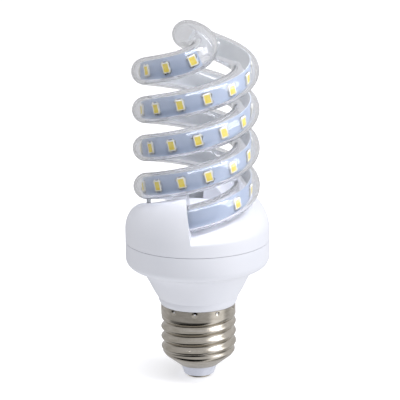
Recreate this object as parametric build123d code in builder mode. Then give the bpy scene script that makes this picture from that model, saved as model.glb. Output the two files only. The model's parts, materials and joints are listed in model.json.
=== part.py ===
# Spiral LED bulb with an E27 screw cap. Millimetres, +Z up, cap down, origin on the axis at the tip
# of the centre contact. Angles about the axis start at the front (-Y) and grow towards +X.
import os
from math import cos, degrees, hypot, pi, radians, sin

from build123d import *

os.makedirs("parts", exist_ok=True)

# Fits
fit_gap = 0.1
seam_gap = 0.15

# Screw cap
cap_radius = 13.1
cap_height = 26.7
cap_band = 4.0
cap_sheet = 0.3
cap_mouth_radius = 6.9
cap_mouth_z = 4.4
cap_knee_radius = 11.8
cap_knee_z = 8.2
thread_pitch = 3.629
thread_mean_radius = 12.65
thread_throw = 0.55
thread_start_z = 9.4
thread_steps = 12
thread_run_out = 0.5
band_run_in = 0.33
knee_share = 0.4
punch_count = 10
punch_radius = 0.75
punch_below_rim = 1.0
punch_lift = 0.2
first_punch_angle = 6.0

# Insulator and contact
insulator_foot_radius = 5.3
insulator_foot_z = 1.0
insulator_top_z = 8.6
contact_radius = 4.6
contact_height = 1.2
contact_edge = 0.9
rivet_radius = 1.5
rivet_head_radius = 2.6
rivet_head_height = 0.5

# Lower housing: heights are above the cap's rim, and the first two insets are in from its side
wall = 1.5
housing_radius = 25.1
seam_height = 22.8
belly_height = 16.5
belly_corner_inset = (0.7, 14.9)
belly_heel_inset = (2.6, 13.6)
belly_foot_at = (19.9, 12.5)
neck_top_at = (19.3, 11.9)
neck_points_at = ((17.7, 9.4), (16.3, 6.6), (15.2, 4.5))
neck_foot_at = (14.25, 3.0)
collar_radius = 14.0
collar_drop = 0.3
collar_waist = 0.25
wall_lift = 0.6
lip_height = 2.4
lip_wall = 1.3
spigot_wall = 1.5
spigot_depth = 3.7
board_ledge = 1.6
board_below_seam = 4.5
board_gap = 0.4

# Upper cover: heights are above its foot
cover_wall = 1.4
shoulder_height = 4.15
shoulder_depth = 6.5
round_share = 0.55
ramp_gap = 1.9
end_wall_angle = -4.2
end_wall_tilt = 6.8
boss_radius = 9.5
boss_height = 12.15
boss_overlap = 0.5
ramp_step = 15
mouth_bore = (1, 12)
mouth_step = 2

# Glass spiral: two legs, half a turn apart, joined by an S over the axis
tube_radius = 4.65
tube_wall = 1.0
coil_radius = 17.35
coil_pitch = 27.0
coil_above_seam = 12.7
coil_start_angle = -30
coil_end_angle = 675
coil_step = 7.5
crossover_reach = 3.2
crossover_bend = 5.35
crossover_rise = 8.9
crossover_step = 1.8

# Light strips
strip_width = 6.3
strip_thickness = 0.25
strip_outward = 1.45
strip_start = 3.0
strip_end = 235.2
strip_step = 4.0
led_length = 2.8
led_width = 3.5
led_height = 0.8
led_frame = 0.35
led_recess = 0.2
led_seat_gap = 0.03
led_runs = {
    "a": ((23.6, 9.3, 2), (45.54, 8.528, 23)),
    "b": ((26.2, 8.631, 25),),
}

# Sealing of the tube ends, and a dab of adhesive under a coil
sealant_thickness = 0.4
sealant_gap = 0.05
sealant_angles = (-22.0, -15.0)
dab_angle = -80
dab_radius = 0.75
dab_outward = -0.4

# Driver board and what it carries
board_thickness = 1.2
capacitor_radius = 4.0
capacitor_height = 11.5
capacitor_edge = 0.6
capacitor_groove = (1.6, 0.8, 0.35)
capacitor_place = (6.0, 3.0)
choke_radius = 4.0
choke_height = 9.0
choke_hub_radius = 1.7
choke_flange = 1.0
choke_winding_depth = 0.4
choke_place = (-6.0, -3.5)
film_size = (10.0, 4.6, 8.0)
film_corner = 0.6
film_place = (-3.0, 8.0)
fuse_radius = 1.6
fuse_length = 7.0
fuse_edge = 0.5
fuse_drop = 0.8
fuse_lead_reach = 1.2
fuse_lead_bend = 0.7
fuse_place = (3.0, -8.0)
lead_wire_radius = 0.3
bridge_size = (4.7, 3.9, 2.4)
bridge_legs = (2, 2.54)
bridge_place = (-9.0, 3.0)
chip_size = (4.9, 3.9, 1.5)
chip_legs = (4, 1.27)
chip_place = (4.0, -6.0)
package_lift = 0.15
package_draft = 4
package_leg = (0.45, 1.6, 0.3)
package_leg_out = 0.5
resistor_size = (3.2, 1.6, 0.6)
resistor_places = ((9.0, 4.0), (9.0, 7.0), (-4.0, -9.0), (-8.0, -7.0))
wire_radius = 0.55
live_place = (0.0, -3.0)
live_drop = 14.0
live_straight = 8.0
live_bend = 3.0
solder_gap = 0.05
neutral_place = (2.0, -12.2)
neutral_angle = 10.0
neutral_drop = 6.0
neutral_clear = 0.4
neutral_bend = 2.0
neutral_steps = (3.0, 1.0, 4.0, 8.0)
lead_side = 1.2
lead_inset = 0.8
lead_tab = 0.4
lead_beyond = 5.0
lead_drop = 7.0
lead_bend = 1.6
lead_angles = (-58, -46)
lead_foot_inset = 1.0

tube_bore = tube_radius - tube_wall
seam_z = cap_height + seam_height
belly_z = cap_height + belly_height
belly_corner, belly_heel = [
    (housing_radius - inset, cap_height + height) for inset, height in (belly_corner_inset, belly_heel_inset)
]
belly_foot, neck_top, *neck_points, neck_foot = [
    (radius, cap_height + height) for radius, height in (belly_foot_at, neck_top_at, *neck_points_at, neck_foot_at)
]
cover_foot_z = seam_z + seam_gap
boss_z = cover_foot_z + boss_height
coil_zero_z = seam_z + coil_above_seam
board_z = seam_z - board_below_seam
board_top_z = board_z + board_thickness
lip_radius = housing_radius - cover_wall - fit_gap
lip_inner = lip_radius - lip_wall
board_radius = lip_inner - board_gap
spigot_radius = cap_radius - cap_sheet - fit_gap
spigot_inner = spigot_radius - spigot_wall
band_z = cap_height - cap_band


def radial(angle, radius, z=0.0):
    return Vector(radius * sin(radians(angle)), -radius * cos(radians(angle)), z)


def around(angle):
    return Vector(cos(radians(angle)), sin(radians(angle)), 0)


def on_coil(angle, lift=0.0):
    return radial(angle, coil_radius, coil_zero_z + coil_pitch * angle / 360 + lift)


def coil_heading(angle):
    return around(angle) + Vector(0, 0, coil_pitch / (2 * pi * coil_radius))


def ramp_z(angle):
    return on_coil(angle).Z - tube_radius - ramp_gap


# Centreline of one leg: up the coil, then through half of the S that ends on the axis
bend_x = crossover_reach - crossover_bend
bend_y = -(coil_radius - crossover_bend)
top_z = on_coil(coil_end_angle).Z + crossover_rise
with BuildLine() as crossover_line:
    Spline(
        on_coil(coil_end_angle),
        on_coil(coil_end_angle + 17, 0.1),
        on_coil(coil_end_angle + 34, 0.5),
        Vector(
            bend_x + crossover_bend * sin(radians(40)),
            bend_y - crossover_bend * cos(radians(40)),
            top_z - 0.43 * crossover_rise,
        ),
        Vector(crossover_reach, bend_y, top_z - 0.22 * crossover_rise),
        Vector(0.72 * crossover_reach, -0.37 * coil_radius, top_z - 0.05 * crossover_rise),
        Vector(0, 0, top_z),
        tangents=(
            coil_heading(coil_end_angle).normalized(),
            Vector(-crossover_reach, coil_radius / 2, 0).normalized(),
        ),
    )
crossover = crossover_line.edge()
mm_per_degree = hypot(coil_radius, coil_pitch / (2 * pi)) * pi / 180
coil_length = (coil_end_angle - coil_start_angle) * mm_per_degree


def leg_frame(distance):
    # Point of the leg and its directions: along the tube, and level and away from the inside.
    if distance <= coil_length:
        angle = coil_start_angle + distance / mm_per_degree
        return on_coil(angle), coil_heading(angle).normalized(), radial(angle, 1)
    share = min((distance - coil_length) / crossover.length, 1)
    along = crossover.tangent_at(share)
    return crossover.position_at(share), along, along.cross(Vector(0, 0, 1)).normalized()


def cross_plane(distance, outward=0.0):
    point, along, out = leg_frame(distance)
    return Plane(origin=point + out * outward, x_dir=out, z_dir=along)


def led_plane(distance, outward):
    point, along, out = leg_frame(distance)
    return Plane(origin=point + out * outward, x_dir=along, z_dir=out)


def stations(start, end, step):
    count = max(1, round((end - start) / step))
    return [start + (end - start) * i / count for i in range(count + 1)]


def spans(distances, most=24):
    # Long lofts are made in spans that share their end sections.
    return [distances[i : i + most + 1] for i in range(0, len(distances) - 1, most)]


def tube_length(radius, distances):
    # Close sections joined by straight facets: a smooth surface here would mesh five times as finely.
    with BuildPart() as length:
        for span in spans(distances):
            for distance in span:
                with BuildSketch(cross_plane(distance)):
                    Circle(radius)
            loft(ruled=True)
    return length.part


def both_legs(part, name, leg):
    # Leg b is leg a turned half a turn about the axis.
    with BuildPart() as node:
        add(part, rotation=(0, 0, 180 if leg == "b" else 0))
    return finish(node.part, f"{name}_{leg}")


def finish(part, name):
    part.label = name
    export_step(part, f"parts/{name}.step")
    return part


# Spiral tube
tube_stations = stations(0, coil_length, coil_step * mm_per_degree)
tube_stations += stations(coil_length, coil_length + crossover.length, crossover_step)[1:]
with BuildPart() as tube_leg:
    add(tube_length(tube_radius, tube_stations))
    add(tube_length(tube_bore, tube_stations), mode=Mode.SUBTRACT)
with BuildPart() as spiral_tube:
    add(tube_leg.part)
    add(tube_leg.part, rotation=(0, 0, 180))
finish(spiral_tube.part, "spiral_tube")

# Light strips, with their packages and the phosphor that fills each package
for leg, runs in led_runs.items():
    with BuildPart() as led_strip:
        for span in spans(stations(strip_start, strip_end, strip_step)):
            for distance in span:
                with BuildSketch(cross_plane(distance, strip_outward - strip_thickness / 2)):
                    Rectangle(strip_thickness, strip_width)
            loft()
    both_legs(led_strip.part, "led_strip", leg)
    distances = [first + pitch * i for first, pitch, count in runs for i in range(count)]
    seats = [led_plane(distance, strip_outward + led_seat_gap).location for distance in distances]
    floors = [
        led_plane(distance, strip_outward + led_seat_gap + led_height - led_recess).location
        for distance in distances
    ]
    with BuildPart() as led_packages:
        with Locations(*seats):
            Box(led_length, led_width, led_height, align=(Align.CENTER, Align.CENTER, Align.MIN))
        with Locations(*floors):
            Box(
                led_length - 2 * led_frame,
                led_width - 2 * led_frame,
                led_recess,
                align=(Align.CENTER, Align.CENTER, Align.MIN),
                mode=Mode.SUBTRACT,
            )
    both_legs(led_packages.part, "led_packages", leg)
    with BuildPart() as led_phosphors:
        with Locations(*floors):
            Box(
                led_length - 2 * led_frame,
                led_width - 2 * led_frame,
                led_recess,
                align=(Align.CENTER, Align.CENTER, Align.MIN),
            )
    both_legs(led_phosphors.part, "led_phosphors", leg)


# Screw cap: a thin shell, so its form is made twice, the second time smaller by the sheet
def cap_form(inset, through):
    # Through is how far the form runs past the mouth and the rim, for a form that hollows another.
    with BuildPart() as form:
        with BuildSketch(Plane.XZ):
            with BuildLine():
                Polyline(
                    (0, cap_mouth_z),
                    (cap_mouth_radius - inset, cap_mouth_z),
                    (cap_knee_radius - inset, cap_knee_z + knee_share * inset),
                    (thread_mean_radius - inset, thread_start_z),
                    (0, thread_start_z),
                    close=True,
                )
            make_face()
        revolve(axis=Axis.Z)
        if through:
            with BuildSketch(Plane.XY.offset(cap_mouth_z - through)):
                Circle(cap_mouth_radius - inset)
            extrude(amount=through)
        rise = band_z - thread_start_z
        count = round(rise / thread_pitch * thread_steps)
        for i in range(count + 1):
            z = thread_start_z + rise * i / count
            below, above = (z - thread_start_z) / thread_pitch, (band_z - z) / thread_pitch
            fade = min(1, below / thread_run_out, above / thread_run_out)
            swell = max(0, 1 - above / band_run_in)
            radius = thread_mean_radius + swell * (cap_radius - thread_mean_radius) - inset
            centre = radial(360 * (z - band_z) / thread_pitch, thread_throw * fade)
            with BuildSketch(Plane.XY.offset(z)):
                with Locations((centre.X, centre.Y)):
                    Circle(radius)
        loft()
        with BuildSketch(Plane.XY.offset(band_z)):
            Circle(cap_radius - inset)
        extrude(amount=cap_height - band_z + through)
    return form.part


punch_angles = [first_punch_angle + 360 * i / punch_count for i in range(punch_count)]
punch_centres = [radial(a, cap_radius + punch_lift, cap_height - punch_below_rim) for a in punch_angles]
with BuildPart() as screw_shell:
    add(cap_form(0, 0))
    add(cap_form(cap_sheet, 1), mode=Mode.SUBTRACT)
    with Locations(*punch_centres):
        Sphere(punch_radius, mode=Mode.SUBTRACT)
finish(screw_shell.part, "screw_shell")

# Insulator of the cap: the cone below the shell's mouth and the plug inside it
with BuildPart() as cap_insulator:
    with BuildSketch(Plane.XY.offset(cap_mouth_z + fit_gap)):
        Circle(cap_radius)
    extrude(amount=insulator_top_z - cap_mouth_z - fit_gap)
    add(cap_form(cap_sheet + fit_gap, 1), mode=Mode.INTERSECT)
    with BuildSketch(Plane.XZ):
        with BuildLine():
            Polyline(
                (0, insulator_foot_z),
                (insulator_foot_radius, insulator_foot_z),
                (cap_mouth_radius - cap_sheet - fit_gap, cap_mouth_z),
                (cap_mouth_radius - cap_sheet - fit_gap, cap_mouth_z + 2 * fit_gap),
                (0, cap_mouth_z + 2 * fit_gap),
                close=True,
            )
        make_face()
    revolve(axis=Axis.Z)
    with BuildSketch(Plane.XY.offset(insulator_foot_z)):
        Circle(rivet_radius + fit_gap)
    extrude(amount=insulator_top_z, mode=Mode.SUBTRACT)
    with BuildSketch(Plane.XY):
        Circle(contact_radius + fit_gap)
    extrude(amount=contact_height, mode=Mode.SUBTRACT)
finish(cap_insulator.part, "cap_insulator")

# Centre contact: a pressed disc with a hollow rivet through the insulator
with BuildPart() as centre_contact:
    with BuildSketch(Plane.XZ):
        with BuildLine():
            head_z = insulator_top_z + fit_gap
            disc_top = contact_height - fit_gap
            Line((0, 0), (contact_radius - contact_edge, 0))
            RadiusArc((contact_radius - contact_edge, 0), (contact_radius, contact_edge), -contact_edge)
            Polyline(
                (contact_radius, contact_edge),
                (contact_radius, disc_top),
                (rivet_radius, disc_top),
                (rivet_radius, head_z),
                (rivet_head_radius, head_z),
                (rivet_head_radius, head_z + rivet_head_height),
                (0, head_z + rivet_head_height),
                (0, 0),
            )
        make_face()
    revolve(axis=Axis.Z)
finish(centre_contact.part, "centre_contact")

# Lower housing: bell, neck, collar, and the spigot that the shell is punched onto
with BuildPart() as lower_housing:
    with BuildSketch(Plane.XZ):
        with BuildLine():
            Polyline(
                (neck_top[0] - wall, belly_foot[1] + wall_lift),
                (lip_inner - board_ledge, belly_corner[1] + wall_lift),
                (lip_inner - board_ledge, board_z),
                (lip_inner, board_z),
                (lip_inner, seam_z + lip_height),
                (lip_radius, seam_z + lip_height),
                (lip_radius, seam_z),
                (housing_radius, seam_z),
                (housing_radius, belly_z),
            )
            ThreePointArc((housing_radius, belly_z), belly_corner, belly_heel)
            Line(belly_heel, belly_foot)
            Line(belly_foot, neck_top)
            Spline(neck_top, *neck_points, neck_foot)
            Line(neck_foot, (collar_radius, neck_foot[1] - collar_drop))
            ThreePointArc(
                (collar_radius, neck_foot[1] - collar_drop),
                (collar_radius - collar_waist, (neck_foot[1] + cap_height) / 2 - collar_drop),
                (cap_radius, cap_height + fit_gap),
            )
            Polyline(
                (cap_radius, cap_height + fit_gap),
                (spigot_radius, cap_height + fit_gap),
                (spigot_radius, cap_height - spigot_depth),
                (spigot_inner, cap_height - spigot_depth),
                (spigot_inner, cap_height),
                (neck_foot[0] - wall, neck_foot[1] + wall_lift),
            )
            Spline(
                (neck_foot[0] - wall, neck_foot[1] + wall_lift),
                *[(r - wall, z + wall_lift) for r, z in reversed(neck_points)],
                (neck_top[0] - wall, belly_foot[1] + wall_lift),
            )
        make_face()
    revolve(axis=Axis.Z)
finish(lower_housing.part, "lower_housing")


# Upper cover: two ramps under the coils, each ending in a wall that a leg comes out of
def wall_plane(angle, tilt):
    out = radial(angle, 1)
    up = Vector(0, 0, cos(radians(tilt))) - around(angle) * sin(radians(tilt))
    return Plane(origin=(0, 0, cover_foot_z), x_dir=out, z_dir=out.cross(up))


def cover_form(inset, below, turn):
    with BuildPart() as form:
        lean = cos(radians(end_wall_tilt))
        edge = housing_radius - inset
        shoulder = shoulder_height / lean
        flat = housing_radius - shoulder_depth
        root = boss_radius + inset - boss_overlap
        for i in range(0, 181, ramp_step):
            angle = end_wall_angle - degrees(inset / coil_radius) + i
            top = (ramp_z(angle) - cover_foot_z) / lean - inset
            with BuildSketch(wall_plane(angle + turn, end_wall_tilt)):
                with BuildLine():
                    Line((root, -below), (edge, -below))
                    Line((edge, -below), (edge, shoulder))
                    Bezier(
                        (edge, shoulder),
                        (edge, shoulder + round_share * (top - shoulder)),
                        (flat + round_share * (edge - flat), top),
                        (flat, top),
                    )
                    Line((flat, top), (root, top))
                    Line((root, top), (root, -below))
                make_face()
        loft()
    return form.part


with BuildPart() as upper_cover:
    add(cover_form(0, 0, 0))
    add(cover_form(0, 0, 180))
    with BuildSketch(Plane.XY.offset(cover_foot_z)):
        Circle(boss_radius)
    extrude(amount=boss_height)
    add(cover_form(cover_wall, 1, 0), mode=Mode.SUBTRACT)
    add(cover_form(cover_wall, 1, 180), mode=Mode.SUBTRACT)
    with BuildSketch(Plane.XY.offset(boss_z - cover_wall)):
        Circle(boss_radius - cover_wall)
    extrude(amount=-boss_height, mode=Mode.SUBTRACT)
    bore = tube_length(tube_radius + fit_gap, stations(*mouth_bore, mouth_step))
    add(bore, mode=Mode.SUBTRACT)
    add(bore, rotation=(0, 0, 180), mode=Mode.SUBTRACT)
finish(upper_cover.part, "upper_cover")

# Sealant that holds each tube end behind its wall, and the dab of adhesive under one coil
seal_stations = [(angle - coil_start_angle) * mm_per_degree for angle in sealant_angles]
with BuildPart() as sealant:
    add(tube_length(tube_radius + sealant_gap + sealant_thickness, stations(*seal_stations, 1)))
    add(tube_length(tube_radius + sealant_gap, stations(*seal_stations, 1)), mode=Mode.SUBTRACT)
    add(upper_cover.part, mode=Mode.SUBTRACT)
for leg in led_runs:
    both_legs(sealant.part, "tube_sealant", leg)
dab_seat = radial(dab_angle, coil_radius + dab_outward)
with BuildPart() as adhesive_dab:
    with BuildSketch(Plane.XY.offset(ramp_z(dab_angle + 180) - cover_wall / 2)):
        with Locations((dab_seat.X, dab_seat.Y)):
            Circle(dab_radius)
    extrude(amount=ramp_gap + cover_wall / 2 + tube_wall / 2)
    add(upper_cover.part, mode=Mode.SUBTRACT)
    add(tube_leg.part, rotation=(0, 0, 180), mode=Mode.SUBTRACT)
finish(adhesive_dab.part, "adhesive_dab")

# Driver board on the ledge of the housing
lead_feet = [radial(a + turn, coil_radius - lead_foot_inset) for a in lead_angles for turn in (0, 180)]
lead_places = [(foot.X, foot.Y) for foot in lead_feet]
with BuildPart() as driver_board:
    with BuildSketch(Plane.XY.offset(board_z)):
        Circle(board_radius)
        with Locations(live_place, neutral_place):
            Circle(wire_radius + fit_gap, mode=Mode.SUBTRACT)
        with Locations(*lead_places):
            Circle(wire_radius + fit_gap, mode=Mode.SUBTRACT)
    extrude(amount=board_thickness)
finish(driver_board.part, "driver_board")

# Filter capacitor, hanging into the neck
with BuildPart() as filter_capacitor:
    with BuildSketch(Plane.XY.offset(board_z)):
        with Locations(capacitor_place):
            Circle(capacitor_radius)
    extrude(amount=-capacitor_height)
    fillet(filter_capacitor.faces().sort_by(Axis.Z)[0].edges(), capacitor_edge)
    groove_below, groove_width, groove_depth = capacitor_groove
    with BuildSketch(Plane.XY.offset(board_z - groove_below)):
        with Locations(capacitor_place):
            Circle(capacitor_radius)
            Circle(capacitor_radius - groove_depth, mode=Mode.SUBTRACT)
    extrude(amount=-groove_width, mode=Mode.SUBTRACT)
finish(filter_capacitor.part, "filter_capacitor")

# Choke: a drum core and the winding between its flanges
choke_centre = Plane(origin=(*choke_place, board_z))
with BuildPart() as choke_core:
    with BuildSketch(choke_centre):
        Circle(choke_radius)
    extrude(amount=-choke_height)
    with BuildSketch(choke_centre.offset(-choke_flange)):
        Circle(choke_radius)
        Circle(choke_hub_radius, mode=Mode.SUBTRACT)
    extrude(amount=-(choke_height - 2 * choke_flange), mode=Mode.SUBTRACT)
finish(choke_core.part, "choke_core")
with BuildPart() as choke_winding:
    with BuildSketch(choke_centre.offset(-choke_flange)):
        Circle(choke_radius - choke_winding_depth)
        Circle(choke_hub_radius, mode=Mode.SUBTRACT)
    extrude(amount=-(choke_height - 2 * choke_flange))
finish(choke_winding.part, "choke_winding")

# Film capacitor, bridge rectifier, driver chip and chip resistors
with BuildPart() as film_capacitor:
    with BuildSketch(Plane.XY.offset(board_z)):
        with Locations(film_place):
            RectangleRounded(film_size[0], film_size[1], film_corner)
    extrude(amount=-film_size[2])
finish(film_capacitor.part, "film_capacitor")


def flat_package(size, place, name, legs, spread):
    # Moulded body on gull-wing legs, soldered to the top of the board.
    leg_width, leg_length, leg_height = package_leg
    with BuildPart() as package:
        with BuildSketch(Plane.XY.offset(board_top_z + package_lift)):
            with Locations(place):
                Rectangle(size[0], size[1])
        extrude(amount=size[2], taper=package_draft)
        with BuildSketch(Plane.XY.offset(board_top_z)):
            with Locations(place):
                with GridLocations(spread, size[1] + 2 * package_leg_out, legs, 2):
                    Rectangle(leg_width, leg_length)
        extrude(amount=leg_height)
    return finish(package.part, name)


flat_package(bridge_size, bridge_place, "bridge_rectifier", *bridge_legs)
flat_package(chip_size, chip_place, "driver_chip", *chip_legs)
with BuildPart() as chip_resistors:
    with BuildSketch(Plane.XY.offset(board_top_z)):
        with Locations(*resistor_places):
            Rectangle(resistor_size[0], resistor_size[1])
    extrude(amount=resistor_size[2])
finish(chip_resistors.part, "chip_resistors")

# Fusible resistor under the board, on its own two bent leads
fuse_z = board_z - fuse_radius - fuse_drop
fuse_reach = fuse_length / 2 + fuse_lead_reach
with BuildPart() as fusible_resistor:
    with BuildSketch(Plane(origin=(*fuse_place, fuse_z), z_dir=(1, 0, 0))):
        Circle(fuse_radius)
    extrude(amount=fuse_length / 2, both=True)
    fillet(fusible_resistor.edges().filter_by(GeomType.CIRCLE), fuse_edge)
    with BuildLine(Plane(origin=(*fuse_place, 0), x_dir=(1, 0, 0), z_dir=(0, -1, 0))) as fuse_lead:
        FilletPolyline(
            (-fuse_reach, board_z),
            (-fuse_reach, fuse_z),
            (fuse_reach, fuse_z),
            (fuse_reach, board_z),
            radius=fuse_lead_bend,
        )
    with BuildSketch(Plane(origin=fuse_lead.line @ 0, z_dir=fuse_lead.line % 0)):
        Circle(lead_wire_radius)
    sweep(path=fuse_lead.line)
finish(fusible_resistor.part, "fusible_resistor")


def wire(points, bend, name):
    with BuildLine() as route:
        FilletPolyline(*points, radius=bend)
    with BuildPart() as strand:
        with BuildSketch(Plane(origin=route.line @ 0, z_dir=route.line % 0)):
            Circle(wire_radius)
        sweep(path=route.line)
    return finish(strand.part, name)


# Supply wires: live down to the rivet of the contact, neutral over the spigot's end to the shell
rivet_top_z = insulator_top_z + fit_gap + rivet_head_height
wire(
    (
        (*live_place, board_top_z),
        (*live_place, board_z - live_drop),
        (0, 0, rivet_top_z + live_straight),
        (0, 0, rivet_top_z + solder_gap),
    ),
    live_bend,
    "live_wire",
)
shell_inner = thread_mean_radius - thread_throw - cap_sheet
neutral_out = radial(neutral_angle, shell_inner - wire_radius - fit_gap)
neutral_in = radial(neutral_angle, spigot_inner - wire_radius - neutral_clear)
above_rim, below_spigot, past_spigot, wire_end = neutral_steps
wire(
    (
        (*neutral_place, board_top_z),
        (*neutral_place, board_z - neutral_drop),
        (neutral_in.X, neutral_in.Y, cap_height + above_rim),
        (neutral_in.X, neutral_in.Y, cap_height - spigot_depth - below_spigot),
        (neutral_out.X, neutral_out.Y, cap_height - spigot_depth - past_spigot),
        (neutral_out.X, neutral_out.Y, cap_height - spigot_depth - wire_end),
    ),
    neutral_bend,
    "neutral_wire",
)

# Leads of the strips: out of each tube end, over its rim and down to the board
for leg in led_runs:
    for pole, side in (("positive", 1), ("negative", -1)):
        tab, _, out = leg_frame(strip_start - lead_tab)
        mouth, along, mouth_out = leg_frame(0)
        across = along.cross(mouth_out) * side * lead_side
        beyond = mouth + mouth_out * (strip_outward - lead_inset) - along * lead_beyond
        foot = radial(lead_angles[side > 0], coil_radius - lead_foot_inset)
        points = (
            tab + out * (strip_outward - lead_inset) + across,
            beyond + across,
            Vector(foot.X, foot.Y, beyond.Z - lead_drop),
            Vector(foot.X, foot.Y, board_top_z),
        )
        turn = 180 if leg == "b" else 0
        wire([point.rotate(Axis.Z, turn) for point in points], lead_bend, f"{pole}_lead_{leg}")
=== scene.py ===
import json
import math

import bmesh
import bpy
import numpy as np
from mathutils import Matrix, Vector


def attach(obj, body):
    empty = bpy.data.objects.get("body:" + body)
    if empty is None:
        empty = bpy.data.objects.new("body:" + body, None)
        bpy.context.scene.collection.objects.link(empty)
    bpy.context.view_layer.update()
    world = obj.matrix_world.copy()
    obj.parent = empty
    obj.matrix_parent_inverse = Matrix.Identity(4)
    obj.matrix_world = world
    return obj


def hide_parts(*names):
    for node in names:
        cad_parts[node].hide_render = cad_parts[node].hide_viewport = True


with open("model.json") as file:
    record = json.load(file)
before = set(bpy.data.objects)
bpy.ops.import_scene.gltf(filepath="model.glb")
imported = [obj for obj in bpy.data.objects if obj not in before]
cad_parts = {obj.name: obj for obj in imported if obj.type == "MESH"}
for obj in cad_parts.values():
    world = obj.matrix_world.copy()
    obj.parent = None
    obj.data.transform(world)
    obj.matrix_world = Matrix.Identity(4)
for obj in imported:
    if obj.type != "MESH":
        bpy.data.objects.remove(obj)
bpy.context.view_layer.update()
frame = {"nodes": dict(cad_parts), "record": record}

# Spiral LED bulb with an E27 screw cap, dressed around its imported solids. +Z is up and the front at -Y.
# Sizes are in millimetres and angles in degrees from the front towards +X; the scene itself is in metres.
mm = 0.001
print("frame loaded:", len(frame["nodes"]), "nodes")


# Path of the glass: two legs, half a turn apart, joined by an S over the axis
legPath = {
    "coilRadius": 17.35, "pitch": 27.0, "zeroHeight": 62.2,
    "startAngle": -30.0, "endAngle": 675.0,
    "lifts": ((17.0, 0.1), (34.0, 0.5)),      # degrees past the coil's end, and how far above its slope
    "reach": 3.2, "bend": 5.35, "bendTurn": 40.0, "rise": 8.9,
    "drops": (0.43, 0.22, 0.05, 0.0),         # of the rise, below the top
    "nearAxis": (0.72, 0.37),                 # of the reach and of the coil's radius
    "samplesPerSpan": 24,
}


def radial(angle, radius, height=0.0):
    turn = math.radians(angle)
    return np.array([radius * math.sin(turn), -radius * math.cos(turn), height])


def onCoil(angle, lift=0.0):
    height = legPath["zeroHeight"] + legPath["pitch"] * angle / 360 + lift
    return radial(angle, legPath["coilRadius"], height)


def coilHeading(angle):
    turn = math.radians(angle)
    climb = legPath["pitch"] / (2 * math.pi * legPath["coilRadius"])
    heading = np.array([math.cos(turn), math.sin(turn), climb])
    return heading / np.linalg.norm(heading)


def crossoverPoints():
    end, bend, reach = legPath["endAngle"], legPath["bend"], legPath["reach"]
    top = onCoil(end)[2] + legPath["rise"]
    heights = [top - drop * legPath["rise"] for drop in legPath["drops"]]
    middle = -(legPath["coilRadius"] - bend)
    turn = math.radians(legPath["bendTurn"])
    bendX, bendY = reach - bend + bend * math.sin(turn), middle - bend * math.cos(turn)
    points = [onCoil(end)] + [onCoil(end + ahead, lift) for ahead, lift in legPath["lifts"]]
    points.append(np.array([bendX, bendY, heights[0]]))
    points.append(np.array([reach, middle, heights[1]]))
    share, inward = legPath["nearAxis"]
    points.append(np.array([share * reach, -inward * legPath["coilRadius"], heights[2]]))
    points.append(np.array([0.0, 0.0, heights[3]]))
    return np.array(points)


def smoothThrough(points, startHeading, endHeading):
    # A cubic through the points, smooth at each, with the given headings at its two ends
    steps = np.linalg.norm(np.diff(points, axis=0), axis=1)
    slopes = np.diff(points, axis=0) / steps[:, None]
    count = len(points)
    system, wanted = np.eye(count), np.zeros((count, 3))
    wanted[0], wanted[-1] = startHeading, endHeading
    for i in range(1, count - 1):
        system[i, i - 1:i + 2] = steps[i], 2 * (steps[i - 1] + steps[i]), steps[i - 1]
        wanted[i] = 3 * (steps[i] * slopes[i - 1] + steps[i - 1] * slopes[i])
    headings = np.linalg.solve(system, wanted)
    track = []
    for i in range(count - 1):
        for t in np.linspace(0, 1, legPath["samplesPerSpan"], endpoint=False):
            track.append(
                (1 + 2 * t) * (1 - t) ** 2 * points[i] + t * (1 - t) ** 2 * steps[i] * headings[i]
                + t * t * (3 - 2 * t) * points[i + 1] + t * t * (t - 1) * steps[i] * headings[i + 1]
            )
    return np.array(track + [points[-1]])


mmPerDegree = math.hypot(legPath["coilRadius"], legPath["pitch"] / (2 * math.pi)) * math.pi / 180
coilLength = (legPath["endAngle"] - legPath["startAngle"]) * mmPerDegree
axisHeading = np.array([-legPath["reach"], legPath["coilRadius"] / 2, 0.0])
axisHeading /= np.linalg.norm(axisHeading)
crossover = smoothThrough(crossoverPoints(), coilHeading(legPath["endAngle"]), axisHeading)
crossoverRun = np.concatenate([[0.0], np.cumsum(np.linalg.norm(np.diff(crossover, axis=0), axis=1))])
crossoverSlope = np.gradient(crossover, crossoverRun, axis=0)
legLength = coilLength + crossoverRun[-1]


def legFrame(distance):
    # Point of leg a, its heading, and the level direction that faces away from the inside of the spiral
    if distance <= coilLength:
        angle = legPath["startAngle"] + distance / mmPerDegree
        return Vector(onCoil(angle)), Vector(coilHeading(angle)), Vector(radial(angle, 1.0))
    run = min(distance - coilLength, crossoverRun[-1])
    place, heading = (
        Vector([np.interp(run, crossoverRun, values[:, axis]) for axis in range(3)])
        for values in (crossover, crossoverSlope)
    )
    heading.normalize()
    return place, heading, heading.cross(Vector((0, 0, 1))).normalized()


def legMatrix(distance, leg, outward=0.0):
    # x away from the inside, y across the tube, z along it; leg b is leg a turned half a turn
    point, heading, out = legFrame(distance)
    across = heading.cross(out)
    matrix = Matrix((
        (out.x, across.x, heading.x, point.x + outward * out.x),
        (out.y, across.y, heading.y, point.y + outward * out.y),
        (out.z, across.z, heading.z, point.z + outward * out.z),
        (0, 0, 0, 1),
    ))
    return Matrix.Rotation(math.pi if leg == "b" else 0.0, 4, "Z") @ matrix


def evenly(start, end, step):
    count = max(1, round((end - start) / step))
    return [start + (end - start) * i / count for i in range(count + 1)]


# Making of meshes and pieces
weldGap = 0.002


def newPiece(name, bm, material, replaces=(), smoothAngle=35.0):
    # The mesh is modelled in millimetres and finished in metres, with its place in it
    bmesh.ops.scale(bm, vec=(mm, mm, mm), verts=bm.verts)
    return finishPiece(name, bm, material, replaces, smoothAngle)


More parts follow.
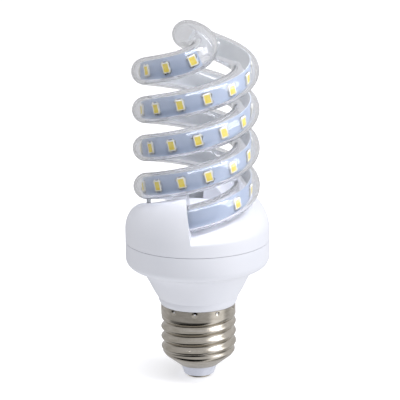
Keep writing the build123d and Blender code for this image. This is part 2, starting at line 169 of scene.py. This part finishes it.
def finishPiece(name, bm, material, replaces, smoothAngle):
    for face in bm.faces:
        face.smooth = True
    for edge in bm.edges:
        edge.smooth = len(edge.link_faces) == 2 and edge.calc_face_angle(0.0) < math.radians(smoothAngle)
    mesh = bpy.data.meshes.new(name)
    bm.to_mesh(mesh)
    bm.free()
    piece = bpy.data.objects.new(name, mesh)
    bpy.context.scene.collection.objects.link(piece)
    mesh.materials.append(material)
    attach(piece, "root")
    if replaces:
        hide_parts(*replaces)
    return piece


def sweepEdges(bm, edges, matrices, capEnds=True):
    # Carries a closed ring of edges, which lies at the first matrix, to each of the others in turn
    firstEdges = edges
    for before, after in zip(matrices, matrices[1:]):
        grown = bmesh.ops.extrude_edge_only(bm, edges=edges)["geom"]
        edges = [item for item in grown if isinstance(item, bmesh.types.BMEdge)]
        newVerts = [item for item in grown if isinstance(item, bmesh.types.BMVert)]
        bmesh.ops.transform(bm, matrix=after @ before.inverted(), verts=newVerts)
        ringVerts = set(newVerts)
        edges = [edge for edge in edges if edge.verts[0] in ringVerts and edge.verts[1] in ringVerts]
    if capEnds:
        bmesh.ops.contextual_create(bm, geom=firstEdges)
        bmesh.ops.contextual_create(bm, geom=edges)


def copyOfNode(node, name, material, smoothAngle):
    # A welded copy of a node of the frame, shaded smooth but for its sharp edges
    bm = bmesh.new()
    bm.from_mesh(frame["nodes"][node].data)
    bmesh.ops.remove_doubles(bm, verts=bm.verts, dist=weldGap * mm)
    return finishPiece(name, bm, material, [node], smoothAngle)


# Making of materials: a mottled colour, and a fine grain that drives the roughness and the bump
mottleDetail, grainDetail = 5.0, 3.0
tintStops = (0.3, 0.7)


def newMaterial(name, look):
    material = bpy.data.materials.new(name)
    material.use_nodes = True
    nodes, links = material.node_tree.nodes, material.node_tree.links
    shader = nodes["Principled BSDF"]
    for socket, value in look.get("fixed", {}).items():
        shader.inputs[socket].default_value = value
    coords = nodes.new("ShaderNodeTexCoord")
    stretch = nodes.new("ShaderNodeMapping")
    stretch.inputs["Scale"].default_value = look.get("stretch", (1, 1, 1))
    links.new(coords.outputs["Object"], stretch.inputs["Vector"])
    mottle = nodes.new("ShaderNodeTexNoise")
    mottle.inputs["Scale"].default_value = look["mottleScale"]
    mottle.inputs["Detail"].default_value = mottleDetail
    links.new(stretch.outputs["Vector"], mottle.inputs["Vector"])
    tint = nodes.new("ShaderNodeValToRGB")
    for element, position, colour in zip(tint.color_ramp.elements, tintStops, look["colours"]):
        element.position, element.color = position, (*colour, 1)
    links.new(mottle.outputs["Fac"], tint.inputs["Fac"])
    links.new(tint.outputs["Color"], shader.inputs["Base Color"])
    grain = nodes.new("ShaderNodeTexNoise")
    grain.inputs["Scale"].default_value = look["grainScale"]
    grain.inputs["Detail"].default_value = grainDetail
    links.new(stretch.outputs["Vector"], grain.inputs["Vector"])
    dull = nodes.new("ShaderNodeMapRange")
    dull.inputs["To Min"].default_value, dull.inputs["To Max"].default_value = look["roughness"]
    links.new(grain.outputs["Fac"], dull.inputs["Value"])
    links.new(dull.outputs["Result"], shader.inputs["Roughness"])
    bump = nodes.new("ShaderNodeBump")
    bump.inputs["Strength"].default_value = look["bump"][0]
    bump.inputs["Distance"].default_value = look["bump"][1] * mm
    links.new(grain.outputs["Fac"], bump.inputs["Height"])
    links.new(bump.outputs["Normal"], shader.inputs["Normal"])
    return material


housingPlastic = newMaterial("housingPlastic", {
    "colours": ((0.75, 0.765, 0.82), (0.79, 0.80, 0.85)), "mottleScale": 60.0,
    "grainScale": 2600.0, "roughness": (0.34, 0.48), "bump": (0.10, 0.02),
    "fixed": {"Specular IOR Level": 0.45},
})
capMetal = newMaterial("capMetal", {
    "colours": ((0.50, 0.46, 0.39), (0.62, 0.575, 0.505)), "mottleScale": 220.0, "stretch": (1, 1, 4),
    "grainScale": 1800.0, "roughness": (0.16, 0.30), "bump": (0.12, 0.03),
    "fixed": {"Metallic": 1.0},
})
insulatorPlastic = newMaterial("insulatorPlastic", {
    "colours": ((0.61, 0.63, 0.72), (0.67, 0.69, 0.77)), "mottleScale": 150.0,
    "grainScale": 1500.0, "roughness": (0.22, 0.34), "bump": (0.08, 0.02),
})
contactMetal = newMaterial("contactMetal", {
    "colours": ((0.55, 0.50, 0.40), (0.68, 0.62, 0.50)), "mottleScale": 500.0,
    "grainScale": 1800.0, "roughness": (0.25, 0.40), "bump": (0.15, 0.03),
    "fixed": {"Metallic": 1.0},
})
stripMask = newMaterial("stripMask", {
    "colours": ((0.385, 0.465, 0.615), (0.425, 0.505, 0.655)), "mottleScale": 300.0,
    "grainScale": 1400.0, "roughness": (0.35, 0.50), "bump": (0.15, 0.02),
})
backingFilm = newMaterial("backingFilm", {
    "colours": ((0.50, 0.52, 0.53), (0.58, 0.60, 0.61)), "mottleScale": 260.0,
    "grainScale": 900.0, "roughness": (0.45, 0.65), "bump": (0.20, 0.03),
})
ledFrame = newMaterial("ledFrame", {
    "colours": ((0.86, 0.84, 0.74), (0.92, 0.91, 0.84)), "mottleScale": 700.0,
    "grainScale": 3000.0, "roughness": (0.30, 0.45), "bump": (0.10, 0.01),
})
phosphorGel = newMaterial("phosphorGel", {
    "colours": ((0.86, 0.65, 0.04), (0.93, 0.77, 0.09)), "mottleScale": 900.0,
    "grainScale": 5000.0, "roughness": (0.18, 0.30), "bump": (0.20, 0.01),
    "fixed": {"Subsurface Weight": 0.2, "Subsurface Radius": (0.0006, 0.0005, 0.0002)},
})
# Contact metal of the packages, painted far darker than solder so that it also stands in for the shade at
# the packages' edges
solderAndPaintedShade = newMaterial("solderAndPaintedShade", {
    "colours": ((0.09, 0.10, 0.13), (0.22, 0.23, 0.26)), "mottleScale": 1500.0,
    "grainScale": 4000.0, "roughness": (0.30, 0.50), "bump": (0.30, 0.02),
    "fixed": {"Metallic": 0.5},
})
adhesiveGel = newMaterial("adhesiveGel", {
    "colours": ((0.62, 0.64, 0.65), (0.72, 0.73, 0.74)), "mottleScale": 900.0,
    "grainScale": 2400.0, "roughness": (0.15, 0.30), "bump": (0.30, 0.04),
    "fixed": {"Transmission Weight": 0.4},
})


def clearGlassMaterial(look):
    # Clear glass that lets the light of the lamps through to what is inside it
    material = newMaterial("clearGlass", look)
    nodes, links = material.node_tree.nodes, material.node_tree.links
    rays = nodes.new("ShaderNodeLightPath")
    through = nodes.new("ShaderNodeBsdfTransparent")
    through.inputs["Color"].default_value = look["shadowTint"]
    mix = nodes.new("ShaderNodeMixShader")
    links.new(rays.outputs["Is Shadow Ray"], mix.inputs["Fac"])
    links.new(nodes["Principled BSDF"].outputs["BSDF"], mix.inputs[1])
    links.new(through.outputs["BSDF"], mix.inputs[2])
    links.new(mix.outputs["Shader"], nodes["Material Output"].inputs["Surface"])
    return material


clearGlass = clearGlassMaterial({
    "colours": ((0.965, 0.968, 0.985), (0.98, 0.982, 0.995)), "mottleScale": 90.0,
    "grainScale": 160.0, "roughness": (0.0, 0.02), "bump": (0.04, 0.2),
    "shadowTint": (0.94, 0.945, 0.96, 1.0),
    "fixed": {"Transmission Weight": 0.97, "IOR": 1.5},
})
print("materials made")


# Glass tube
glassTube = {
    "radius": 4.63, "wall": 1.0, "around": 48, "coilStep": 2.2, "crossoverStep": 0.8, "smoothAngle": 60,
}


def makeGlassTube():
    stops = evenly(0, coilLength, glassTube["coilStep"])
    stops += evenly(coilLength, legLength, glassTube["crossoverStep"])[1:]
    legA = [legMatrix(stop, "a") for stop in stops]
    # The second leg is walked back from the axis to its mouth, so its frames face the other way
    turned = Matrix.Rotation(math.pi, 4, "Y")
    legB = [legMatrix(stop, "b") @ turned for stop in reversed(stops[:-1])]
    bm = bmesh.new()
    bmesh.ops.create_circle(bm, segments=glassTube["around"], radius=glassTube["radius"], matrix=legA[0])
    sweepEdges(bm, bm.edges[:], legA + legB, capEnds=False)
    bmesh.ops.recalc_face_normals(bm, faces=bm.faces)
    bmesh.ops.solidify(bm, geom=bm.faces[:], thickness=glassTube["wall"])
    print("glass of the tube, mm3:", round(bm.calc_volume(signed=True)))
    return newPiece("glassTube", bm, clearGlass, ["spiral_tube"], glassTube["smoothAngle"])


makeGlassTube()
print("glass tube made")


# Light strips with their packages
lightStrip = {
    "width": 6.3, "outward": 1.45, "start": 3.0, "end": 235.2, "step": 1.5,
    "sheets": {"lightStrip": (0.0, 0.1), "stripBacking": (0.1, 0.25)},    # depths below the face
    "runs": {"a": ((23.6, 9.3, 2), (45.54, 8.528, 23)), "b": ((26.2, 8.631, 25),)},    # first, pitch, count
}
lightPackage = {
    "length": 2.8, "width": 3.5, "height": 0.6, "seat": 0.01, "frame": 0.36, "well": 0.24, "slope": 0.1,
    "edge": 0.07, "gelDepth": 0.06, "gelGap": 0.02, "gelCorner": 0.12, "smoothAngle": 40,
    "contactLength": 2.2, "contactOut": 0.34, "contactHeight": 0.14, "contactToe": 0.35, "contactEdge": 0.03,
}


def makeStrip(leg, sheet, material, replaces=()):
    half = lightStrip["width"] / 2
    near, far = lightStrip["sheets"][sheet]
    stops = evenly(lightStrip["start"], lightStrip["end"], lightStrip["step"])
    matrices = [legMatrix(stop, leg, lightStrip["outward"]) for stop in stops]
    bm = bmesh.new()
    corners = ((-far, -half), (-near, -half), (-near, half), (-far, half))
    verts = [bm.verts.new(matrices[0] @ Vector((x, y, 0.0))) for x, y in corners]
    edges = [bm.edges.new(pair) for pair in zip(verts, verts[1:] + verts[:1])]
    sweepEdges(bm, edges, matrices)
    bmesh.ops.recalc_face_normals(bm, faces=bm.faces)
    return newPiece(f"{sheet}_{leg}", bm, material, replaces)


def packagePlaces(leg):
    outward = lightStrip["outward"] + lightPackage["seat"]
    # x along the strip, y across it, z out of it
    upright = Matrix(((0, 0, 1, 0), (0, -1, 0, 0), (1, 0, 0, 0), (0, 0, 0, 1)))
    return [
        legMatrix(first + pitch * i, leg, outward) @ upright
        for first, pitch, count in lightStrip["runs"][leg]
        for i in range(count)
    ]


def boxMesh(bm, size, centre):
    made = bmesh.ops.create_cube(bm, size=1.0)["verts"]
    bmesh.ops.scale(bm, vec=size, verts=made)
    bmesh.ops.translate(bm, vec=centre, verts=made)
    return made


def bevelEdges(bm, edges, width, segments):
    bmesh.ops.bevel(
        bm, geom=edges, offset=width, offset_type="OFFSET", affect="EDGES", segments=segments,
        profile=0.5, material=-1, clamp_overlap=True,
    )


def uprightEdges(bm):
    slack = 0.05    # an upright edge's two ends lie further apart in height than this
    return [edge for edge in bm.edges if abs(edge.verts[0].co.z - edge.verts[1].co.z) > slack]


def topFace(bm):
    return max((face for face in bm.faces if face.normal.z > 0.9), key=lambda face: face.calc_area())


def packageBody():
    size = lightPackage
    bm = bmesh.new()
    boxMesh(bm, (size["length"], size["width"], size["height"]), (0, 0, size["height"] / 2))
    bevelEdges(bm, uprightEdges(bm), size["edge"] * 2, segments=3)
    bevelEdges(bm, topFace(bm).edges[:], size["edge"], segments=2)
    top = [topFace(bm)]
    for inward, down in ((size["frame"] - size["edge"], 0.0), (size["slope"], size["well"])):
        bmesh.ops.inset_region(bm, faces=top, thickness=inward, depth=-down, use_even_offset=True)
    return bm


def packageGel():
    size = lightPackage
    bm = bmesh.new()
    inLength, inWidth = (size[side] - 2 * (size["frame"] + size["gelGap"]) for side in ("length", "width"))
    depth = size["well"] - size["gelDepth"]
    centre = size["height"] - size["gelDepth"] - depth / 2
    boxMesh(bm, (inLength, inWidth, depth), (0, 0, centre))
    lower = [vert for vert in bm.verts if vert.co.z < centre]
    narrowing = (1 - 2 * size["slope"] / inLength, 1 - 2 * size["slope"] / inWidth, 1)
    bmesh.ops.scale(bm, vec=narrowing, verts=lower)
    bevelEdges(bm, uprightEdges(bm), size["gelCorner"], segments=2)
    return bm


def packageContacts():
    size = lightPackage
    bm = bmesh.new()
    out, middle = (size["width"] + size["contactOut"]) / 2, size["contactHeight"] / 2
    for side in (-1, 1):
        box = (size["contactLength"], size["contactOut"], size["contactHeight"])
        made = boxMesh(bm, box, (0, side * out, middle))
        toes = [vert for vert in made if vert.co.z > middle and abs(vert.co.y) > out]
        bmesh.ops.scale(bm, vec=(1, 1, size["contactToe"]), verts=toes)
        edges = {edge for vert in made for edge in vert.link_edges}
        bevelEdges(bm, list(edges), size["contactEdge"], segments=1)
    return bm


def placeCopies(name, template, places, material, replaces=()):
    mesh = bpy.data.meshes.new("template")
    template.to_mesh(mesh)
    template.free()
    bm = bmesh.new()
    for place in places:
        before = len(bm.verts)
        bm.from_mesh(mesh)
        bm.verts.ensure_lookup_table()
        bmesh.ops.transform(bm, matrix=place, verts=bm.verts[before:])
    bpy.data.meshes.remove(mesh)
    return newPiece(name, bm, material, replaces, lightPackage["smoothAngle"])


for leg in lightStrip["runs"]:
    makeStrip(leg, "lightStrip", stripMask, [f"led_strip_{leg}"])
    makeStrip(leg, "stripBacking", backingFilm)
    places = packagePlaces(leg)
    placeCopies(f"lightPackages_{leg}", packageBody(), places, ledFrame, [f"led_packages_{leg}"])
    placeCopies(f"lightGel_{leg}", packageGel(), places, phosphorGel, [f"led_phosphors_{leg}"])
    # The contacts are real metal tabs, and their dark colour also paints the shade beside each package
    placeCopies(f"lightContacts_{leg}", packageContacts(), places, solderAndPaintedShade)
print("light strips made")


# Screw shell: spun sheet, with its thread and the punch marks of its rim pressed in
shellSheet = {
    "thickness": 0.3, "mouth": (6.9, 4.4), "knee": (11.8, 8.2),    # radius and height
    "threadStart": 9.4, "bandStart": 22.7, "rim": 26.7,    # heights
    "threadRadius": 12.65, "bandRadius": 13.1, "throw": 0.55, "pitch": 3.629,
    "runOut": 0.5, "bandRunIn": 0.33,    # of the pitch
    "around": 216, "row": 0.28, "coneRows": 8, "smoothAngle": 50,
    "punches": {"count": 10, "first": -5.5, "below": 1.0, "radius": 0.8, "depth": 0.5},
}


def shellPress(angle, height):
    # How far the sheet stands out of, or into, its plain spun form at one place
    size = shellSheet
    turnsIn = (height - size["threadStart"]) / size["pitch"]
    turnsLeft = (size["bandStart"] - height) / size["pitch"]
    fade = max(0.0, min(1.0, turnsIn / size["runOut"], turnsLeft / size["runOut"]))
    fade *= fade * (3 - 2 * fade)
    press = size["throw"] * fade * math.cos(math.radians(angle) + 2 * math.pi * turnsLeft)
    punches = size["punches"]
    spacing = 360 / punches["count"]
    off = (angle - punches["first"] + spacing / 2) % spacing - spacing / 2
    away = math.hypot(math.radians(off) * size["bandRadius"], height - size["rim"] + punches["below"])
    return press - punches["depth"] * max(0.0, 1 - (away / punches["radius"]) ** 2)


def makeScrewShell():
    size = shellSheet
    rows = np.linspace(size["mouth"], size["knee"], size["coneRows"] + 1)
    profile = [(float(radius), float(height)) for radius, height in rows]
    for height in evenly(size["threadStart"], size["rim"], size["row"]):
        swell = min(1.0, max(0.0, 1 - (size["bandStart"] - height) / size["pitch"] / size["bandRunIn"]))
        profile.append((size["threadRadius"] + swell * (size["bandRadius"] - size["threadRadius"]), height))
    bm = bmesh.new()
    verts = [bm.verts.new((0, -radius, height)) for radius, height in profile]
    edges = [bm.edges.new(pair) for pair in zip(verts, verts[1:])]
    bmesh.ops.spin(
        bm, geom=verts + edges, cent=(0, 0, 0), axis=(0, 0, 1), angle=2 * math.pi,
        steps=size["around"], use_merge=True,
    )
    for vert in bm.verts:
        if vert.co.z >= size["threadStart"]:
            angle = math.degrees(math.atan2(vert.co.x, -vert.co.y))
            reach = vert.co.xy.length
            vert.co.xy *= (reach + shellPress(angle, vert.co.z)) / reach
    bmesh.ops.recalc_face_normals(bm, faces=bm.faces)
    if sum(face.normal.xy.dot(face.calc_center_median().xy) for face in bm.faces) < 0:
        bmesh.ops.reverse_faces(bm, faces=bm.faces)
    bmesh.ops.solidify(bm, geom=bm.faces[:], thickness=size["thickness"])
    print("sheet of the shell, mm3:", round(bm.calc_volume(signed=True)))
    return newPiece("screwShell", bm, capMetal, ["screw_shell"], size["smoothAngle"])


makeScrewShell()
print("screw shell made")


# Housing, cover and the rest of the cap keep their solids' forms
dressedNodes = {
    "lower_housing": ("lowerHousing", housingPlastic, "housing_plastic"),
    "upper_cover": ("upperCover", housingPlastic, "housing_plastic"),
    "cap_insulator": ("capInsulator", insulatorPlastic, "insulator"),
    "centre_contact": ("centreContact", contactMetal, "contact_metal"),
    "adhesive_dab": ("adhesiveDab", adhesiveGel, "adhesive"),
}
for node, (name, material, slot) in dressedNodes.items():
    copyOfNode(node, name, material, smoothAngle=30)
print("housing and cap dressed")


# Pieces inside the housing, and the sealant
insideLooks = {
    "sealant": {"colours": ((0.80, 0.80, 0.78), (0.88, 0.88, 0.86)), "roughness": (0.4, 0.6)},
    "circuit_board": {"colours": ((0.10, 0.24, 0.12), (0.14, 0.30, 0.16)), "roughness": (0.3, 0.5)},
    "capacitor_sleeve": {"colours": ((0.04, 0.05, 0.09), (0.07, 0.08, 0.13)), "roughness": (0.2, 0.35)},
    "ferrite": {"colours": ((0.05, 0.05, 0.06), (0.09, 0.09, 0.10)), "roughness": (0.5, 0.7)},
    "enamelled_copper": {"colours": ((0.45, 0.18, 0.07), (0.60, 0.28, 0.12)), "roughness": (0.2, 0.4)},
    "film_box": {"colours": ((0.55, 0.14, 0.07), (0.66, 0.20, 0.10)), "roughness": (0.25, 0.4)},
    "black_epoxy": {"colours": ((0.02, 0.02, 0.02), (0.05, 0.05, 0.05)), "roughness": (0.4, 0.6)},
    "resistor_coat": {"colours": ((0.12, 0.26, 0.20), (0.18, 0.34, 0.26)), "roughness": (0.3, 0.5)},
    "wire_red": {"colours": ((0.50, 0.04, 0.03), (0.60, 0.07, 0.05)), "roughness": (0.25, 0.4)},
    "wire_black": {"colours": ((0.02, 0.02, 0.02), (0.04, 0.04, 0.04)), "roughness": (0.25, 0.4)},
}
insideDetail = {"mottleScale": 500.0, "grainScale": 2500.0, "bump": (0.2, 0.02)}
insideMaterials = {slot: newMaterial(slot, {**insideDetail, **look}) for slot, look in insideLooks.items()}
slotOf = {row["node"]: row["material_slot"] for row in frame["record"]["subparts"]}
for node, piece in frame["nodes"].items():
    if slotOf[node] in insideMaterials:
        piece.data.materials.clear()
        piece.data.materials.append(insideMaterials[slotOf[node]])
print("inside pieces dressed")


# Studio
studio = {
    "floorSize": 8.0, "floorColour": (0.86, 0.86, 0.87, 1), "floorRoughness": 0.9, "floorGlow": 0.55,
    "backdrop": 1.0, "skyColour": (0.97, 0.975, 1.0, 1), "lampColour": (0.98, 0.98, 1.0),
    "ambient": {"left": 0.55, "right": 0.70, "spread": 0.8, "below": 1.88, "above": 0.60, "lift": 0.6},
    # What the metal mirrors: a dark table in front, a dark edge on the right, and a tall soft box
    "darks": (
        {"towards": (-0.50, -0.866, 0.0), "sides": (0.18, 0.40), "heights": (-0.66, -0.14)},
        {"towards": (0.990, 0.139, 0.0), "sides": (0.955, 0.990), "heights": (-0.60, -0.15)},
    ),
    "tallBox": {"towards": (0.887, -0.462, 0.0), "sides": (0.86, 0.95), "adds": 0.45},
    "lamps": {
        "keyRight": {"azimuth": 66, "elevation": 38, "distance": 1.0, "size": (0.50, 0.83), "power": 4.8},
        "topSoft": {"azimuth": 0, "elevation": 79, "distance": 1.0, "size": (0.90, 0.22), "power": 7.2},
    },
    "aim": (0.0, 0.0, 0.065),
}


def makeFloor():
    bm = bmesh.new()
    bmesh.ops.create_grid(bm, x_segments=1, y_segments=1, size=studio["floorSize"])
    mesh = bpy.data.meshes.new("floor")
    bm.to_mesh(mesh)
    bm.free()
    floor = bpy.data.objects.new("floor", mesh)
    bpy.context.scene.collection.objects.link(floor)
    material = bpy.data.materials.new("floorPaper")
    material.use_nodes = True
    shader = material.node_tree.nodes["Principled BSDF"]
    shader.inputs["Base Color"].default_value = studio["floorColour"]
    shader.inputs["Roughness"].default_value = studio["floorRoughness"]
    shader.inputs["Emission Color"].default_value = studio["floorColour"]
    shader.inputs["Emission Strength"].default_value = studio["floorGlow"]
    mesh.materials.append(material)
    floor.visible_diffuse = floor.visible_glossy = floor.visible_transmission = False


def makeLamps():
    aim = Vector(studio["aim"])
    for name, lamp in studio["lamps"].items():
        light = bpy.data.lights.new(name, "AREA")
        light.shape = "RECTANGLE"
        light.size, light.size_y = lamp["size"]
        light.energy = lamp["power"]
        light.color = studio["lampColour"]
        side, lift = math.radians(lamp["azimuth"]), math.radians(lamp["elevation"])
        away = Vector((math.cos(lift) * math.sin(side), -math.cos(lift) * math.cos(side), math.sin(lift)))
        holder = bpy.data.objects.new(name, light)
        holder.location = aim + away * lamp["distance"]
        holder.rotation_euler = away.to_track_quat("Z", "Y").to_euler()
        bpy.context.scene.collection.objects.link(holder)


def makeWorld():
    world = bpy.data.worlds.new("studioWorld")
    bpy.context.scene.world = world
    world.use_nodes = True
    nodes, links = world.node_tree.nodes, world.node_tree.links
    background = nodes["Background"]
    direction = nodes.new("ShaderNodeTexCoord").outputs["Generated"]

    def leaning(vector, towards, limits, values):
        # How much a direction leans towards another, read as a value between two limits
        lean = nodes.new("ShaderNodeVectorMath")
        lean.operation = "DOT_PRODUCT"
        links.new(vector, lean.inputs[0])
        lean.inputs[1].default_value = towards
        ramp = nodes.new("ShaderNodeMapRange")
        ramp.interpolation_type = "SMOOTHSTEP"
        ramp.inputs["From Min"].default_value, ramp.inputs["From Max"].default_value = limits
        ramp.inputs["To Min"].default_value, ramp.inputs["To Max"].default_value = values
        links.new(lean.outputs["Value"], ramp.inputs["Value"])
        return ramp.outputs["Result"]

    def combine(operation, first, second):
        reckon = nodes.new("ShaderNodeMath")
        reckon.operation = operation
        for socket, value in zip(reckon.inputs, (first, second)):
            if isinstance(value, float):
                socket.default_value = value
            else:
                links.new(value, socket)
        return reckon.outputs["Value"]

    def choose(ray, otherwise, chosen):
        mix = nodes.new("ShaderNodeMix")
        links.new(ray, mix.inputs["Factor"])
        for socket, value in (("A", otherwise), ("B", chosen)):
            if isinstance(value, float):
                mix.inputs[socket].default_value = value
            else:
                links.new(value, mix.inputs[socket])
        return mix.outputs["Result"]

    level = nodes.new("ShaderNodeVectorMath")
    level.operation = "MULTIPLY"
    links.new(direction, level.inputs[0])
    level.inputs[1].default_value = (1, 1, 0)
    flat = nodes.new("ShaderNodeVectorMath")
    flat.operation = "NORMALIZE"
    links.new(level.outputs["Vector"], flat.inputs[0])
    flatDirection = flat.outputs["Vector"]

    ambient = studio["ambient"]
    right, up = (1, 0, 0), (0, 0, 1)
    spread, lift = ambient["spread"], ambient["lift"]
    around = leaning(direction, right, (-spread, spread), (ambient["left"], ambient["right"]))
    steepness = leaning(direction, up, (-lift, lift), (ambient["below"], ambient["above"]))
    bounced = combine("MULTIPLY", around, steepness)
    mirrored = around
    for dark in studio["darks"]:
        shade = combine(
            "MULTIPLY",
            leaning(flatDirection, dark["towards"], dark["sides"], (0, 1)),
            leaning(direction, up, dark["heights"], (1, 0)),
        )
        mirrored = combine("MULTIPLY", mirrored, combine("SUBTRACT", 1.0, shade))
    box = studio["tallBox"]
    glow = leaning(flatDirection, box["towards"], box["sides"], (0, box["adds"]))
    mirrored = combine("ADD", mirrored, glow)
    rays = nodes.new("ShaderNodeLightPath")
    lit = choose(rays.outputs["Is Diffuse Ray"], around, bounced)
    lit = choose(rays.outputs["Is Glossy Ray"], lit, mirrored)
    lit = choose(rays.outputs["Is Camera Ray"], lit, studio["backdrop"])
    links.new(lit, background.inputs["Strength"])
    tint = nodes.new("ShaderNodeMix")
    tint.data_type = "RGBA"
    links.new(rays.outputs["Is Camera Ray"], tint.inputs["Factor"])
    tint.inputs["A"].default_value = studio["skyColour"]
    tint.inputs["B"].default_value = (1, 1, 1, 1)
    links.new(tint.outputs["Result"], background.inputs["Color"])


photoView = {
    "elevation": 14.2, "distance": 0.85, "target": (0.0, 0.0, 0.0715),
    "pixelsPerMm": 2.885, "targetPixel": (196.6, 178.0), "frame": 400.0, "roll": -0.77, "sensor": 36.0,
}


def makeCamera():
    camera = bpy.data.cameras.new("photoCamera")
    camera.sensor_width = photoView["sensor"]
    frameWidth = photoView["frame"] / photoView["pixelsPerMm"] * mm
    camera.lens = photoView["sensor"] * photoView["distance"] / frameWidth
    middle = photoView["frame"] / 2
    camera.shift_x = (middle - photoView["targetPixel"][0]) / photoView["frame"]
    camera.shift_y = (photoView["targetPixel"][1] - middle) / photoView["frame"]
    tilt = math.radians(photoView["elevation"])
    holder = bpy.data.objects.new("photoCamera", camera)
    away = Vector((0.0, -math.cos(tilt), math.sin(tilt))) * photoView["distance"]
    holder.matrix_world = (
        Matrix.Translation(Vector(photoView["target"]) + away)
        @ Matrix.Rotation(math.pi / 2 - tilt, 4, "X")
        @ Matrix.Rotation(math.radians(photoView["roll"]), 4, "Z")
    )
    bpy.context.scene.collection.objects.link(holder)
    bpy.context.scene.camera = holder


makeFloor()
makeLamps()
makeWorld()
makeCamera()
bpy.context.scene.view_settings.view_transform = "Standard"
print("studio made")
